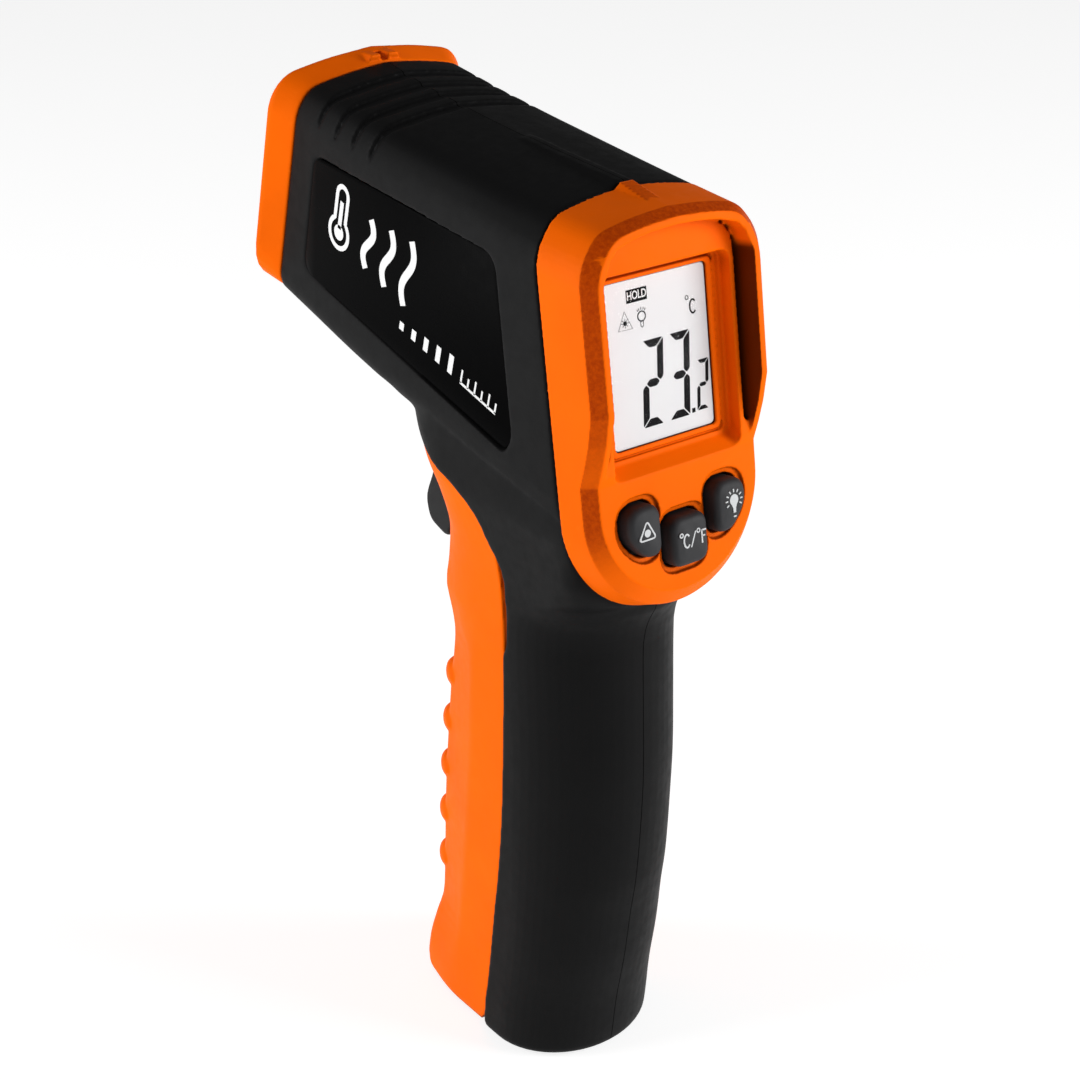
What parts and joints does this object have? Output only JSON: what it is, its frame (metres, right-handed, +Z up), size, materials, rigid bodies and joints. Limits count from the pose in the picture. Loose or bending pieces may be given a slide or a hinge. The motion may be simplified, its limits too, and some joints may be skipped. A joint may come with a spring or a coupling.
{
  "type": "infrared thermometer",
  "caption": "Pistol-grip infrared thermometer with a hooded display, rubber keys, a spring trigger and a hinged battery door in the front of the grip.",
  "frame": {"origin": "centre of the bounding box at its bottom, on the flat foot of the grip", "axes": "+Z up along the grip, +Y forward to the nose, +X to the user's right; the display faces -Y and the barrel points 15 degrees above +Y"},
  "size_m": [0.039, 0.0959, 0.1687],
  "materials": {
    "black_shell": "satin moulded ABS with a fine texture",
    "orange_plastic": "satin moulded ABS",
    "front_black": "matt black moulding",
    "label_gloss": "gloss black printed film",
    "clear_window": "clear hard-coated plastic",
    "display_glass": "pale liquid crystal cell with dark segments",
    "light_guide": "white acrylic",
    "contact_strip": "layered silicone",
    "key_membrane": "grey silicone",
    "key_rubber": "satin silicone",
    "circuit_board": "green solder mask",
    "chip": "moulded resin",
    "buzzer": "moulded plastic",
    "steel": "bright zinc plate",
    "infrared_lens": "infrared-clear moulded lens",
    "aluminium": "turned",
    "sensor_can": "plated metal can",
    "brass": "turned brass-coloured barrel",
    "trigger_black": "satin moulded plastic",
    "switch_black": "moulded plastic",
    "tray_black": "moulded plastic",
    "cell_wrap": "plain printed sleeve over a metal can"
  },
  "bodies": {
    "casing": {"left_shell": "black_shell", "right_shell": "black_shell", "display_housing": "orange_plastic", "nose_ring": "orange_plastic", "front_bezel": "front_black", "left_label": "label_gloss", "right_label": "label_gloss", "display_window": "clear_window", "display_glass": "display_glass", "light_guide": "light_guide", "contact_strip": "contact_strip", "key_membrane": "key_membrane", "main_board": "circuit_board", "controller_chip": "chip", "buzzer": "buzzer", "board_screw_1": "steel", "board_screw_2": "steel", "board_screw_3": "steel", "board_screw_4": "steel", "infrared_lens": "infrared_lens", "lens_retainer": "front_black", "sensor_holder": "aluminium", "thermopile_sensor": "sensor_can", "sensor_board": "circuit_board", "laser_module": "brass", "trigger_pin": "steel", "trigger_spring": "steel", "switch_board": "circuit_board", "trigger_switch": "switch_black", "battery_tray": "tray_black", "battery_cell_left": "cell_wrap", "battery_cell_right": "cell_wrap", "battery_spring_left": "steel", "battery_spring_right": "steel", "battery_contact_left": "steel", "battery_contact_right": "steel", "barrel_upper_screw": "steel", "barrel_lower_screw": "steel", "grip_upper_screw": "steel", "grip_lower_screw": "steel"},
    "door": {"battery_door": "orange_plastic"},
    "trigger": {"trigger": "trigger_black"},
    "laser_key": {"laser_key": "key_rubber"},
    "unit_key": {"unit_key": "key_rubber"},
    "backlight_key": {"backlight_key": "key_rubber"}
  },
  "joints": [
    {"name": "battery_door_hinge", "type": "hinge", "parent": "casing", "child": "door", "pos_m": [0, -0.009, 0.0038], "axis": [-1, 0, 0], "range_deg": [0, 65]},
    {"name": "trigger_pull", "type": "hinge", "parent": "casing", "child": "trigger", "pos_m": [0, 0.003, 0.1215], "axis": [-1, 0, 0], "range_deg": [0, 6], "stiffness_Nm_per_rad": 0.8, "springref_deg": -2.86, "deforming": ["trigger_spring"]},
    {"name": "laser_key_press", "type": "slide", "parent": "casing", "child": "laser_key", "axis": [0, 0.9885, -0.1509], "range_m": [0, 0.001], "stiffness_N_per_m": 1500, "springref_m": -0.0004},
    {"name": "unit_key_press", "type": "slide", "parent": "casing", "child": "unit_key", "axis": [0, 0.9885, -0.1509], "range_m": [0, 0.001], "stiffness_N_per_m": 1500, "springref_m": -0.0004},
    {"name": "backlight_key_press", "type": "slide", "parent": "casing", "child": "backlight_key", "axis": [0, 0.9885, -0.1509], "range_m": [0, 0.001], "stiffness_N_per_m": 1500, "springref_m": -0.0004}
  ]
}
